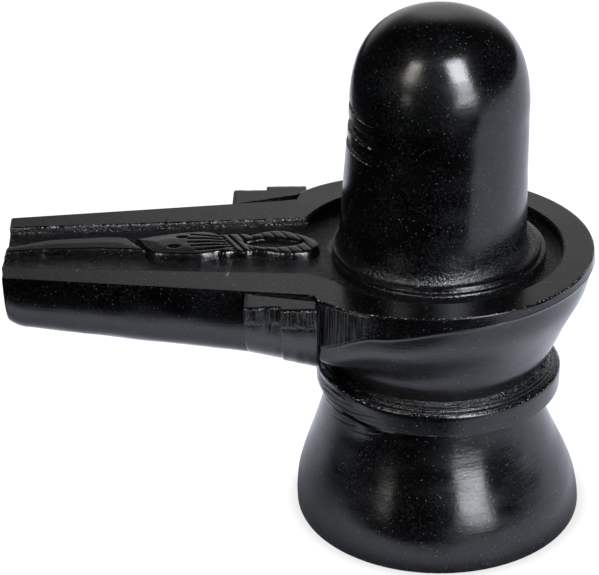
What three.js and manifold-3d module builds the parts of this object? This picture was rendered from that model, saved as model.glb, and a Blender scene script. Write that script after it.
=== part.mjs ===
// A shiva lingam on its yoni pedestal, carved by hand from one block of black stone: a flared foot, a waist
// ring, a pear-shaped bowl with a long spout, a snake in low relief in the spout's channel, and a domed shaft.
// Millimetres, +Z up, spout towards -X, origin at the centre of the foot's flat underside.
import * as THREE from "three";
import { mergeVertices } from "three/addons/utils/BufferGeometryUtils.js";
import Module from "manifold-3d";

const wasm = await Module();
wasm.setup();

// Driving dimensions of the turned pedestal
const TURN_SIDES = 80;
const FOOT_RADIUS = 40.5; // widest, just above the resting face
const FOOT_EDGE = 0.5; // worn round the resting face
const FOOT_FLARE = [
  [40.6, 4],
  [39.9, 8],
  [38.5, 12],
  [37.1, 16],
  [34.3, 24],
  [31.0, 32],
]; // [radius, z] up the foot's side
const FOOT_SHEAR = -0.056; // the foot's axis leans this much towards the spout per mm of height
const WAIST_RADIUS = 29.8;
const WAIST_Z = 38;
const RING_RADIUS = 34.1;
const RING_LOW_Z = 40.3;
const RING_HIGH_Z = 45.1;
const RING_TILT = -0.022; // the ring dips away from the spout, per mm
const NECK_RADIUS = 29.4;
const NECK_Z = 47.4;
const BOWL_FLANK = [
  [32.6, 54],
  [36.2, 62],
  [40.3, 70],
]; // [radius, z] up the bowl's side
const WORN_EDGE = 0.4; // how far an edge of ring, shoulder and rim is worn back
const RIM_Z = 81.4; // flat polished rim of bowl and spout
const RIM_RADIUS = 42.0;
const SHOULDER_RADIUS = 42.6;
const SHOULDER_Z = 77.4; // crisp edge under the upright band of the rim
const MOAT_RADIUS = 34.1;
const MOAT_DEPTH = 3.0;
const MOAT_WALL_RUN = 0.5;
const PLINTH_RADIUS = 29.3;
const PLINTH_STEP_Z = 81.0;
const COLLAR_RADIUS = 27.8;
const COLLAR_Z = 82.3;

// The bowl swells towards the spout on either side, more on the +Y side
const SWELL_START = THREE.MathUtils.degToRad(80);
const SWELL_END = THREE.MathUtils.degToRad(142);
const OUTER_SWELL = { far: 0.21, near: 0.08 };
const INNER_SWELL = { far: 0.18, near: 0.03 };

// Driving dimensions of the shaft
const SHAFT_FOOT_RADIUS = 25.5;
const SHAFT_TOP_RADIUS = 24.0;
const FILLET_Z = 87.4; // the polished shaft ends here on a rough concave fillet
const FILLET_RADIUS = 27.2; // which meets the collar here
const DOME_Z = 120.6;
const DOME_TOP_Z = 149.1;
const DOME_POWER = 2.6; // squarer than an ellipse
const DOME_STEPS = 13;
const FILLET_STEPS = 5;
const SHAFT_OFFSET = -1.85; // the shaft's foot stands off the pedestal's axis
const SHAFT_UPRIGHT_Z = 124; // and its axis leans back over it up to here

// Three bands cut across the shaft's spout side, as [low, high]
const BANDS = [
  [112.6, 115.3],
  [117.2, 121.0],
  [123.3, 125.2],
];
const BAND_DEPTH = 0.9;
const BAND_SLOPE = 0.4; // a band's walls lean this much
const BAND_END_X = -17.6; // their ends lie in one upright plane

// Driving dimensions of the spout
const SPOUT_END_X = -119;
const SPOUT_ROOT_X = -40;
const SPOUT_INNER_X = -22; // the hull runs on inside the bowl
const SPOUT_END_HALF = 18.3;
const SPOUT_ROOT_HALF = 28.4;
const SPOUT_END_SKEW = 0.074; // the end is cut a little out of square
const SPOUT_END_DEPTH = 20.8;
const SPOUT_ROOT_DEPTH = 28.8;
const HULL_POWER = 2.6;
const HULL_SIDES = 18;
const HULL_STEPS = 16;
const HULL_END_ROUND = 5; // the hull's underside turns up to the end face
const HULL_END_LIFT = 0.9; // share of its depth left at the end face

const CHANNEL_DEPTH = 2.4;
const CHANNEL_END_HALF = 11.8;
const CHANNEL_ROOT_HALF = 16.6;
const CHANNEL_ROOT_X = -35;
const CHANNEL_MOUTH_X = -30.6;
const CHANNEL_MOUTH_HALF = 19.5;

// Stepped lugs on either side of the spout's root; the far one sits nearer the spout's end
const LUG = { out: -55, step: -44.8, root: -34, outHalf: 34.4, rootHalf: 36.9, drop: 0.4, depth: 20 };
const LUG_SHIFT = { far: -3.2, near: 3.2 };
const LUG_REACH = { far: 0.985, near: 1.01 }; // the far lug stands out less
const LUG_ROOTED = 8; // how far a lug's block goes into the hull
const LUG_UNDERCUT = 0.62; // share of its reach that a lug keeps at its foot
const LUG_SLOT = { tip: -53, wide: -36.5, tipWidth: 1.0, width: 3.0, depth: 5 };

// Low relief in the channel
const RELIEF_TOP_Z = 80.9;
const RIDGE_TOP_Z = 80.5;
const RELIEF_ROOT = 1; // how far a relief goes down into the floor
const CURVE_STEPS = 4; // straight steps between two points of a smooth outline

const STONE = new THREE.MeshStandardMaterial({ color: 0x14161a, roughness: 0.28, metalness: 0 });

const CUT_MARGIN = 5; // how far a cut runs past the surface it opens
const INSIDE = 0.4; // how far a hidden cut stays inside the stone it joins

// A geometry as a solid, its shared corners merged.
function solidOf(geometry) {
  geometry.deleteAttribute("normal");
  geometry.deleteAttribute("uv");
  const merged = mergeVertices(geometry, 1e-4);
  return new wasm.Manifold(
    new wasm.Mesh({
      numProp: 3,
      vertProperties: merged.attributes.position.array,
      triVerts: new Uint32Array(merged.index.array),
    }),
  );
}

// A solid as a geometry again.
function geometryOf(solid) {
  const mesh = solid.getMesh();
  return new THREE.BufferGeometry()
    .setAttribute("position", new THREE.BufferAttribute(mesh.vertProperties, 3))
    .setIndex(new THREE.BufferAttribute(mesh.triVerts, 1));
}

// Calls move on every corner of a geometry, as a vector to change.
function reshape(geometry, move) {
  const at = geometry.attributes.position;
  const corner = new THREE.Vector3();
  for (let i = 0; i < at.count; i++) {
    corner.fromBufferAttribute(at, i);
    move(corner);
    at.setXYZ(i, corner.x, corner.y, corner.z);
  }
  return geometry;
}

// A turned geometry from [radius, z] pairs, listed from the foot of the axis upwards.
function turned(profile) {
  return new THREE.LatheGeometry(vectors(profile), TURN_SIDES).rotateX(Math.PI / 2);
}

// [x, y] pairs as vectors.
function vectors(pairs) {
  return pairs.map(([x, y]) => new THREE.Vector2(x, y));
}

// A prism over an outline in the XY plane, from one height to another.
function prism(outline, low, high) {
  const shape = outline instanceof THREE.Shape ? outline : new THREE.Shape(vectors(outline));
  const options = { depth: high - low, bevelEnabled: false, curveSegments: CURVE_STEPS };
  return new THREE.ExtrudeGeometry(shape, options).translate(0, 0, low);
}

// A closed smooth outline through [x, y] points.
function smoothOutline(points) {
  const [first, ...rest] = vectors(points);
  const shape = new THREE.Shape().moveTo(first.x, first.y);
  return shape.splineThru([...rest, first]);
}

// How much the bowl swells at a corner's bearing, 0 on the round side and up to the amount given.
function swellAt(corner, amount) {
  const bearing = Math.abs(Math.atan2(corner.y, corner.x));
  const share = THREE.MathUtils.smoothstep(bearing, SWELL_START, SWELL_END);
  return 1 + share * (corner.y > 0 ? amount.far : amount.near);
}

// Foot, waist ring, bowl and moat, turned in one profile and then swelled towards the spout.
function pedestal() {
  const profile = [
    [0, 0],
    [FOOT_RADIUS - FOOT_EDGE, 0],
    [FOOT_RADIUS, FOOT_EDGE],
    ...FOOT_FLARE,
    [WAIST_RADIUS, WAIST_Z],
    [WAIST_RADIUS, RING_LOW_Z - WORN_EDGE],
    [RING_RADIUS - WORN_EDGE, RING_LOW_Z],
    [RING_RADIUS, RING_LOW_Z + WORN_EDGE],
    [RING_RADIUS, RING_HIGH_Z - WORN_EDGE],
    [RING_RADIUS - WORN_EDGE, RING_HIGH_Z],
    [NECK_RADIUS, NECK_Z],
    ...BOWL_FLANK,
    [SHOULDER_RADIUS - WORN_EDGE, SHOULDER_Z - WORN_EDGE],
    [SHOULDER_RADIUS, SHOULDER_Z],
    [RIM_RADIUS + WORN_EDGE, RIM_Z - WORN_EDGE],
    [RIM_RADIUS - WORN_EDGE, RIM_Z],
    [MOAT_RADIUS, RIM_Z],
    [MOAT_RADIUS - MOAT_WALL_RUN, RIM_Z - MOAT_DEPTH],
    [PLINTH_RADIUS, RIM_Z - MOAT_DEPTH],
    [PLINTH_RADIUS, PLINTH_STEP_Z],
    [COLLAR_RADIUS, PLINTH_STEP_Z],
    [COLLAR_RADIUS, COLLAR_Z],
    [0, COLLAR_Z],
  ];
  const wallMiddle = (MOAT_RADIUS + RIM_RADIUS) / 2;
  return reshape(turned(profile), (corner) => {
    const radius = Math.hypot(corner.x, corner.y);
    if (corner.z > NECK_Z && radius > PLINTH_RADIUS + 1) {
      const inner = corner.z > SHOULDER_Z && radius < wallMiddle;
      const height = THREE.MathUtils.smoothstep(corner.z, NECK_Z, SHOULDER_Z);
      const swell = swellAt(corner, inner ? INNER_SWELL : OUTER_SWELL);
      const growth = 1 + (swell - 1) * height;
      corner.x *= growth;
      corner.y *= growth;
    }
    if (corner.z < WAIST_Z + WORN_EDGE) corner.x += FOOT_SHEAR * corner.z;
    else if (corner.z < NECK_Z) corner.z += RING_TILT * corner.x;
  });
}

// The shaft: a rough fillet, a slight taper and a dome a little squarer than an ellipse.
function shaft() {
  const profile = [[0, RIM_Z - MOAT_DEPTH]];
  const filletRun = FILLET_RADIUS - SHAFT_FOOT_RADIUS;
  profile.push([FILLET_RADIUS, RIM_Z - MOAT_DEPTH]);
  for (let i = 0; i <= FILLET_STEPS; i++) {
    const turn = (i / FILLET_STEPS) * (Math.PI / 2);
    const radius = SHAFT_FOOT_RADIUS + filletRun * (1 - Math.sin(turn));
    profile.push([radius, FILLET_Z - (FILLET_Z - COLLAR_Z) * Math.cos(turn)]);
  }
  for (let i = 0; i <= DOME_STEPS; i++) {
    const turn = (i / DOME_STEPS) * (Math.PI / 2);
    const reach = i === DOME_STEPS ? 0 : Math.cos(turn) ** (2 / DOME_POWER);
    const rise = Math.sin(turn) ** (2 / DOME_POWER);
    profile.push([SHAFT_TOP_RADIUS * reach, DOME_Z + (DOME_TOP_Z - DOME_Z) * rise]);
  }
  return turned(profile);
}

// What is cut from the shaft for its bands: rings kept only on the spout's side.
function bandCuts() {
  const room = 2 * RIM_RADIUS;
  const spoutSide = new THREE.BoxGeometry(room, room, room);
  const side = solidOf(spoutSide.translate(BAND_END_X - room / 2, 0, BANDS[1][0]));
  const taper = (SHAFT_FOOT_RADIUS - SHAFT_TOP_RADIUS) / (DOME_Z - FILLET_Z);
  return BANDS.map(([low, high]) => {
    const surface = SHAFT_TOP_RADIUS + taper * Math.max(0, DOME_Z - (low + high) / 2);
    const floor = surface - BAND_DEPTH;
    const outside = surface + CUT_MARGIN;
    const ring = turned([
      [floor, low + BAND_SLOPE],
      [outside, low],
      [outside, high],
      [floor, high - BAND_SLOPE],
      [floor, low + BAND_SLOPE],
    ]);
    return solidOf(ring).intersect(side);
  });
}

// Half the spout's width, and its depth below the rim, at a place along it.
function spoutShare(x) {
  return (x - SPOUT_END_X) / (SPOUT_ROOT_X - SPOUT_END_X);
}
function spoutHalf(x) {
  return THREE.MathUtils.lerp(SPOUT_END_HALF, SPOUT_ROOT_HALF, spoutShare(x));
}
function spoutDepth(x) {
  const depth = THREE.MathUtils.lerp(SPOUT_END_DEPTH, SPOUT_ROOT_DEPTH, spoutShare(x));
  const round = THREE.MathUtils.clamp(1 - (x - SPOUT_END_X) / HULL_END_ROUND, 0, 1);
  return depth * (1 - (1 - HULL_END_LIFT) * round * round);
}

// The spout's hull: a rounded U section, drawn along X and then tapered.
function hull() {
  const section = new THREE.Shape();
  section.moveTo(-1, 0);
  for (let i = 1; i <= HULL_SIDES; i++) {
    const turn = (i / HULL_SIDES) * Math.PI;
    const across = -Math.sign(Math.cos(turn)) * Math.abs(Math.cos(turn)) ** (2 / HULL_POWER);
    const down = i === HULL_SIDES ? 0 : Math.sin(turn) ** (2 / HULL_POWER);
    section.lineTo(across, -down);
  }
  section.closePath();
  const length = SPOUT_INNER_X - SPOUT_END_X;
  const geometry = new THREE.ExtrudeGeometry(section, { depth: length, steps: HULL_STEPS, bevelEnabled: false });
  return reshape(geometry, (corner) => {
    const x = SPOUT_END_X + corner.z;
    const y = corner.x * spoutHalf(x);
    const skew = SPOUT_END_SKEW * y * (1 - spoutShare(x));
    corner.set(x - skew, y, RIM_Z + corner.y * spoutDepth(x));
  });
}

// A stepped lug on one side, leaning in towards its foot.
function lug(side, shift, reach) {
  const inside = spoutHalf(LUG.out) - LUG_ROOTED;
  const outline = [
    [LUG.out + shift, side * inside],
    [LUG.out + shift, side * LUG.outHalf * reach],
    [LUG.step + shift, side * LUG.outHalf * reach],
    [LUG.step + shift, side * LUG.rootHalf * reach],
    [LUG.root + shift, side * LUG.rootHalf * reach],
    [LUG.root + shift, side * inside],
  ];
  const top = RIM_Z - LUG.drop;
  const block = prism(outline, top - LUG.depth, top);
  return reshape(block, (corner) => {
    if (corner.z < top - LUG.depth / 2) corner.y *= LUG_UNDERCUT;
  });
}

// The wedge of a slot between a lug and the spout's rim.
function lugSlot(side, shift) {
  const tip = LUG_SLOT.tip + shift;
  const wide = LUG_SLOT.wide + shift;
  const outline = [
    [tip, side * spoutHalf(tip)],
    [wide, side * spoutHalf(wide)],
    [wide + LUG_SLOT.tipWidth, side * (spoutHalf(wide) + LUG_SLOT.width)],
    [tip, side * (spoutHalf(tip) + LUG_SLOT.tipWidth)],
  ];
  return prism(outline, RIM_Z - LUG_SLOT.depth, RIM_Z + CUT_MARGIN);
}

// The open channel along the spout, flaring into the moat.
function channel() {
  const outline = [
    [SPOUT_END_X - CUT_MARGIN, -CHANNEL_END_HALF],
    [CHANNEL_ROOT_X, -CHANNEL_ROOT_HALF],
    [CHANNEL_MOUTH_X, -CHANNEL_MOUTH_HALF],
    [CHANNEL_MOUTH_X, CHANNEL_MOUTH_HALF],
    [CHANNEL_ROOT_X, CHANNEL_ROOT_HALF],
    [SPOUT_END_X - CUT_MARGIN, CHANNEL_END_HALF],
  ];
  return prism(outline, RIM_Z - CHANNEL_DEPTH, RIM_Z + CUT_MARGIN);
}

// The ridge from the spout's end to the snake, and the snake's hood, neck and looped body.
function reliefs() {
  const floor = RIM_Z - CHANNEL_DEPTH - RELIEF_ROOT;
  const ridge = [
    [SPOUT_END_X, -1.6],
    [-107, 0],
    [-93, 0.2],
    [-80, -0.8],
    [-86.5, 7.6],
    [-92, 8],
    [-108, 6.5],
    [SPOUT_END_X, 1.8],
  ];
  const hood = [
    [-82.5, 5.4],
    [-77.5, -2.6],
    [-72, -4.2],
    [-65, -4.2],
    [-60, -2.4],
    [-55.5, -1.4],
    [-58, 4.6],
    [-60.5, 8],
    [-65, 10.1],
    [-74.5, 8.8],
  ];
  const loop = smoothOutline([
    [-57, 4.4],
    [-54, -1.5],
    [-47, -2.8],
    [-40.6, -4.6],
    [-32, -3.2],
    [-29.6, 2.4],
    [-33, 6.8],
    [-42.5, 10.5],
    [-50, 8.7],
  ]);
  const eye = smoothOutline([
    [-51.5, 3.6],
    [-47, 5.4],
    [-38, 4],
    [-33.5, 2.6],
    [-37, 0.6],
    [-43.5, 0],
    [-48.5, 0.9],
  ]);
  loop.holes.push(eye);
  return [
    solidOf(prism(ridge, floor, RIDGE_TOP_Z)),
    solidOf(prism(smoothOutline(hood), floor, RELIEF_TOP_Z)),
    solidOf(prism(loop, floor, RELIEF_TOP_Z)),
  ];
}

// The whole stone as one solid.
function stone() {
  const moatRoom = turned([
    [0, RIM_Z - MOAT_DEPTH - INSIDE],
    [MOAT_RADIUS + INSIDE, RIM_Z - MOAT_DEPTH - INSIDE],
    [MOAT_RADIUS + INSIDE, RIM_Z + CUT_MARGIN],
    [0, RIM_Z + CUT_MARGIN],
  ]);
  reshape(moatRoom, (corner) => {
    const growth = swellAt(corner, INNER_SWELL);
    corner.x *= growth;
    corner.y *= growth;
  });
  let spout = solidOf(hull());
  for (const [side, bank] of [
    [1, "far"],
    [-1, "near"],
  ]) {
    const shift = LUG_SHIFT[bank];
    spout = spout.add(solidOf(lug(side, shift, LUG_REACH[bank])));
    spout = spout.subtract(solidOf(lugSlot(side, shift)));
  }
  spout = spout.subtract(solidOf(moatRoom));
  let body = solidOf(pedestal()).add(spout).subtract(solidOf(channel()));
  for (const relief of reliefs()) body = body.add(relief);

  let upright = solidOf(shaft());
  for (const cut of bandCuts()) upright = upright.subtract(cut);
  const leaning = reshape(geometryOf(upright), (corner) => {
    const left = (SHAFT_UPRIGHT_Z - corner.z) / (SHAFT_UPRIGHT_Z - RIM_Z);
    corner.x += SHAFT_OFFSET * THREE.MathUtils.clamp(left, 0, 1);
  });
  return geometryOf(body.add(solidOf(leaning)));
}

const group = new THREE.Group();
const lingam = new THREE.Mesh(stone(), STONE);
lingam.name = "lingam_stone";
group.add(lingam);

export default group;
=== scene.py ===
"""A shiva lingam on its yoni pedestal, carved by hand from one block of black stone.

The blocks of the stone (turned pedestal, spout, lugs, plinth, shaft, snake relief) are modelled in
millimetres, fused and hollowed into one mesh, and dressed as polished and pecked stone.
"""

import logging
import math
from collections.abc import Callable
from dataclasses import dataclass, field
from enum import Enum

import bmesh
import bpy
from mathutils import Matrix, Vector, noise


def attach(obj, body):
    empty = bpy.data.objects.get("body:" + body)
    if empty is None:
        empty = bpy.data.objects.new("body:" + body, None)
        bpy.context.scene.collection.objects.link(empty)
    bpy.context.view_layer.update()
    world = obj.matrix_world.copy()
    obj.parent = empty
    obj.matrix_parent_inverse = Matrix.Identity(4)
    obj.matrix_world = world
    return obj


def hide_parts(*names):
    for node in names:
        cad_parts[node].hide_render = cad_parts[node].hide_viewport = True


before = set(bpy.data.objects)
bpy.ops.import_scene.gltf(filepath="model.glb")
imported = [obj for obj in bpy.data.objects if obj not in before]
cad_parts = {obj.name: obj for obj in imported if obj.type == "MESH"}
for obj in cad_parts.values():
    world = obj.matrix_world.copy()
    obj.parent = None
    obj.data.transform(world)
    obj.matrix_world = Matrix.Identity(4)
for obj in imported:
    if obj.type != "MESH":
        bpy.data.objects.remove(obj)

MM = 0.001
RIM_Z = 81.4
IMAGE_WIDTH = 599
MASKS = ("pecked", "worn", "chased", "scored")
COOL = (0.9, 0.94, 1.0)
WARM = (1.0, 0.97, 0.9)
WHITE = (1, 1, 1, 1)
log = logging.getLogger("lingam")

Pair = tuple[float, float]
Triple = tuple[float, float, float]
Colour = tuple[float, float, float, float]
Stroke = tuple[float, float, float, float]


class Joint(Enum):
    """How a block meets the stone."""

    ADD = "UNION"
    CUT = "DIFFERENCE"


class Bank(Enum):
    """A side of the spout, as the sign of Y."""

    FAR = 1
    NEAR = -1


class Skin(Enum):
    """How a face was left, as the index of its material."""

    POLISHED = 0
    TOOLED = 1
    CARVED = 2


def lerp(low: float, high: float, share: float) -> float:
    """The value at a share of the way from low to high."""
    return low + (high - low) * share


def clamp(value: float) -> float:
    """The value held between 0 and 1."""
    return max(0.0, min(1.0, value))


def smoothstep(low: float, high: float, value: float) -> float:
    """0 below low, 1 above high, and a smooth rise between."""
    share = clamp((value - low) / (high - low))
    return share * share * (3 - 2 * share)


def window(rise: Pair, fall: Pair, value: float) -> float:
    """1 between a smooth rise and a smooth fall, and 0 outside them."""
    return smoothstep(*rise, value) * smoothstep(*fall, value)


def bell(off: float, width: float) -> float:
    """1 in the middle and a smooth fall to 0 on either side."""
    return math.exp(-((off / width) ** 2))


def bearing_of(place: Vector) -> float:
    """A place's bearing round the axis, in degrees."""
    return math.degrees(math.atan2(place.y, place.x))


def widen(place: Vector, factor: float) -> None:
    """Moves a place away from the axis, or towards it."""
    place.x *= factor
    place.y *= factor


def uneven(place: Vector, waves: tuple[Pair, ...]) -> float:
    """How far a hand-worked face strays at a place, from waves of a height and a width."""
    return sum(height * noise.noise(place / width) for height, width in waves)


def by_bank(far: float, near: float) -> dict[Bank, float]:
    """A dataclass field with a value for either side of the spout."""
    return field(default_factory=lambda: {Bank.FAR: far, Bank.NEAR: near})


def curve_through(points: list[Pair], step: float) -> list[Pair]:
    """A smooth curve through points.

    Args:
        points: Places as (radius, z) or (x, y).
        step: About how far apart the curve's own points are.

    Returns:
        The curve's points, with the first and last point given.
    """
    ends = [Vector(p) for p in points]
    ends = [2 * ends[0] - ends[1], *ends, 2 * ends[-1] - ends[-2]]
    curve = []
    for before, start, stop, after in zip(ends, ends[1:], ends[2:], ends[3:]):
        count = max(1, round((stop - start).length / step))
        for i in range(count):
            t = i / count
            bend = (2 * before - 5 * start + 4 * stop - after) * t * t
            twist = (3 * start - before - 3 * stop + after) * t * t * t
            curve.append(tuple(0.5 * (2 * start + (stop - before) * t + bend + twist)))
    return [*curve, tuple(points[-1])]


@dataclass
class Outline:
    """A closed smooth outline in the XY plane."""

    points: list[Pair]
    smooth: bool = True
    corners: list[Vector] = field(init=False)

    def __post_init__(self) -> None:
        """Works out the outline's corners."""
        closed = [*self.points, self.points[0]]
        line = curve_through(closed, 0.8)[:-1] if self.smooth else self.points
        self.corners = [Vector(p) for p in line]

    def inside(self, x: float, y: float) -> float:
        """How far a place lies inside the outline, less than 0 outside it.

        Args:
            x: Place along the spout.
            y: Place across the spout.

        Returns:
            The distance to the outline in millimetres.
        """
        nearest = math.inf
        within = False
        last = self.corners[-1]
        for corner in self.corners:
            edge_x, edge_y = corner.x - last.x, corner.y - last.y
            off_x, off_y = x - last.x, y - last.y
            along = clamp((off_x * edge_x + off_y * edge_y) / (edge_x * edge_x + edge_y * edge_y))
            nearest = min(nearest, math.hypot(off_x - along * edge_x, off_y - along * edge_y))
            if (last.y > y) != (corner.y > y) and off_x < off_y * edge_x / edge_y:
                within = not within
            last = corner
        return nearest if within else -nearest


def outline(*points: Pair, smooth: bool = True) -> Outline:
    """A dataclass field with an outline through points."""
    return field(default_factory=lambda: Outline(list(points), smooth))


@dataclass
class Profile:
    """A turned outline from the foot of the axis upwards, with how each place on it was left."""

    points: list[tuple[float, float, float, float]] = field(default_factory=list)

    def to(self, radius: float, z: float, rows: int = 1, pecked: float = 0, worn: float = 0) -> "Profile":
        """Goes straight to a place.

        Args:
            radius: Distance from the axis.
            z: Height.
            rows: How many rows of faces the stretch has.
            pecked: How rough the stretch was left, 0 to 1.
            worn: How pale its worn edge is, 0 to 1.

        Returns:
            The profile itself.
        """
        start = self.points[-1] if self.points else (radius, z, pecked, worn)
        for i in range(rows):
            share = (i + 1) / rows
            self.points.append((lerp(start[0], radius, share), lerp(start[1], z, share), pecked, worn))
        return self

    def through(self, places: list[Pair], step: float, pecked: float = 0) -> "Profile":
        """Goes along a smooth curve from the last place.

        Args:
            places: The places after the last one.
            step: About how tall a row of faces is.
            pecked: How rough the stretch was left, 0 to 1.

        Returns:
            The profile itself.
        """
        for radius, z in curve_through([self.points[-1][:2], *places], step)[1:]:
            self.points.append((radius, z, pecked, 0.0))
        return self

    def rounded(self, radius: float, z: float) -> "Profile":
        """Goes round the worn upper edge of a step."""
        return self.to(radius - 0.15, z - 0.15, worn=0.2).to(radius - 0.5, z, worn=0.3)

    def spun(self, steps: int) -> bmesh.types.BMesh:
        """Turns the profile round the Z axis.

        Args:
            steps: How many faces go round.

        Returns:
            The closed mesh, with its masks on its corners.
        """
        bm = bmesh.new()
        layers = [bm.verts.layers.float.new(mask) for mask in MASKS]
        verts = []
        for radius, z, *marks in self.points:
            vert = bm.verts.new((radius, 0, z))
            for layer, mark in zip(layers, marks):
                vert[layer] = mark
            verts.append(vert)
        edges = [bm.edges.new(pair) for pair in zip(verts, verts[1:])]
        turn = {"cent": (0, 0, 0), "axis": (0, 0, 1), "angle": math.tau}
        bmesh.ops.spin(bm, geom=verts + edges, steps=steps, use_merge=True, **turn)
        close(bm)
        return bm


def close(bm: bmesh.types.BMesh) -> None:
    """Merges a mesh's doubles and turns its faces outwards."""
    bmesh.ops.remove_doubles(bm, verts=bm.verts[:], dist=1e-4)
    bmesh.ops.recalc_face_normals(bm, faces=bm.faces[:])


def verts_of(geom: list) -> list[bmesh.types.BMVert]:
    """The corners among what a mesh operator made."""
    return [item for item in geom if isinstance(item, bmesh.types.BMVert)]


def open_edges(bm: bmesh.types.BMesh) -> list[bmesh.types.BMEdge]:
    """The edges round a mesh's opening."""
    return [edge for edge in bm.edges if edge.is_boundary]


def reshape(bm: bmesh.types.BMesh, move: Callable[[Vector], Vector]) -> None:
    """Puts every corner of a mesh where move says."""
    for vert in bm.verts:
        vert.co = move(vert.co)


def roughen(bm: bmesh.types.BMesh, depth: float, grain: float) -> None:
    """Pecks a mesh's rough places.

    Args:
        bm: The mesh, with its pecked mask on its corners.
        depth: How deep the pecks are, in millimetres.
        grain: How wide a peck is, in millimetres.
    """
    bm.normal_update()
    layer = bm.verts.layers.float["pecked"]
    for vert in bm.verts:
        if vert[layer] > 0:
            peck = noise.noise(vert.co / grain) + 0.5 * noise.noise(vert.co / (0.45 * grain))
            vert.co += vert.normal * peck * depth * vert[layer]


def paint(bm: bmesh.types.BMesh, mask: str, rule: Callable[[Vector], float]) -> None:
    """Sets a mask on every corner of a mesh by its place."""
    layers = bm.verts.layers.float
    layer = layers.get(mask) or layers.new(mask)
    for vert in bm.verts:
        vert[layer] = rule(vert.co)


def block(bm: bmesh.types.BMesh, name: str, skin: Skin = Skin.POLISHED) -> bpy.types.Object:
    """Makes an object of a closed mesh, its masks moved to the corners of its faces.

    Args:
        bm: The mesh, which is freed.
        name: The object's name.
        skin: How its faces were left.

    Returns:
        The object, linked to the scene.
    """
    close(bm)
    for mask in MASKS:
        kept = bm.verts.layers.float.get(mask) or bm.verts.layers.float.new(mask)
        corner = bm.loops.layers.float.new(mask)
        for face in bm.faces:
            for loop in face.loops:
                loop[corner] = loop.vert[kept]
        bm.verts.layers.float.remove(kept)
    for face in bm.faces:
        face.smooth = True
        face.material_index = skin.value
    mesh = bpy.data.meshes.new(name)
    bm.to_mesh(mesh)
    bm.free()
    for material in (bpy.data.materials.get(s.name.lower()) for s in Skin):
        mesh.materials.append(material)
    made = bpy.data.objects.new(name, mesh)
    bpy.context.scene.collection.objects.link(made)
    return made


def fuse(stone: bpy.types.Object, tool: bpy.types.Object, how: Joint) -> None:
    """Joins a block to the stone or cuts it out, and removes the block.

    Args:
        stone: The stone, whose mesh is replaced.
        tool: The block.
        how: Whether it is added or cut.
    """
    modifier = stone.modifiers.new("fuse", "BOOLEAN")
    modifier.operation = how.value
    modifier.solver = "MANIFOLD"
    modifier.object = tool
    graph = bpy.context.evaluated_depsgraph_get()
    mesh = bpy.data.meshes.new_from_object(stone.evaluated_get(graph), depsgraph=graph)
    stone.modifiers.clear()
    old = [stone.data, tool.data]
    stone.data = mesh
    bpy.data.objects.remove(tool)
    for used in old:
        bpy.data.meshes.remove(used)


@dataclass(frozen=True)
class Swell:
    """How much the bowl widens towards the spout on either side."""

    far: float
    near: float
    start: float = math.radians(80)
    end: float = math.radians(142)
    blend: float = 5.0

    def growth(self, place: Vector) -> float:
        """How many times wider the bowl is at a place's bearing."""
        bearing = abs(math.atan2(place.y, place.x))
        amount = lerp(self.near, self.far, smoothstep(-self.blend, self.blend, place.y))
        return 1 + amount * smoothstep(self.start, self.end, bearing)


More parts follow.
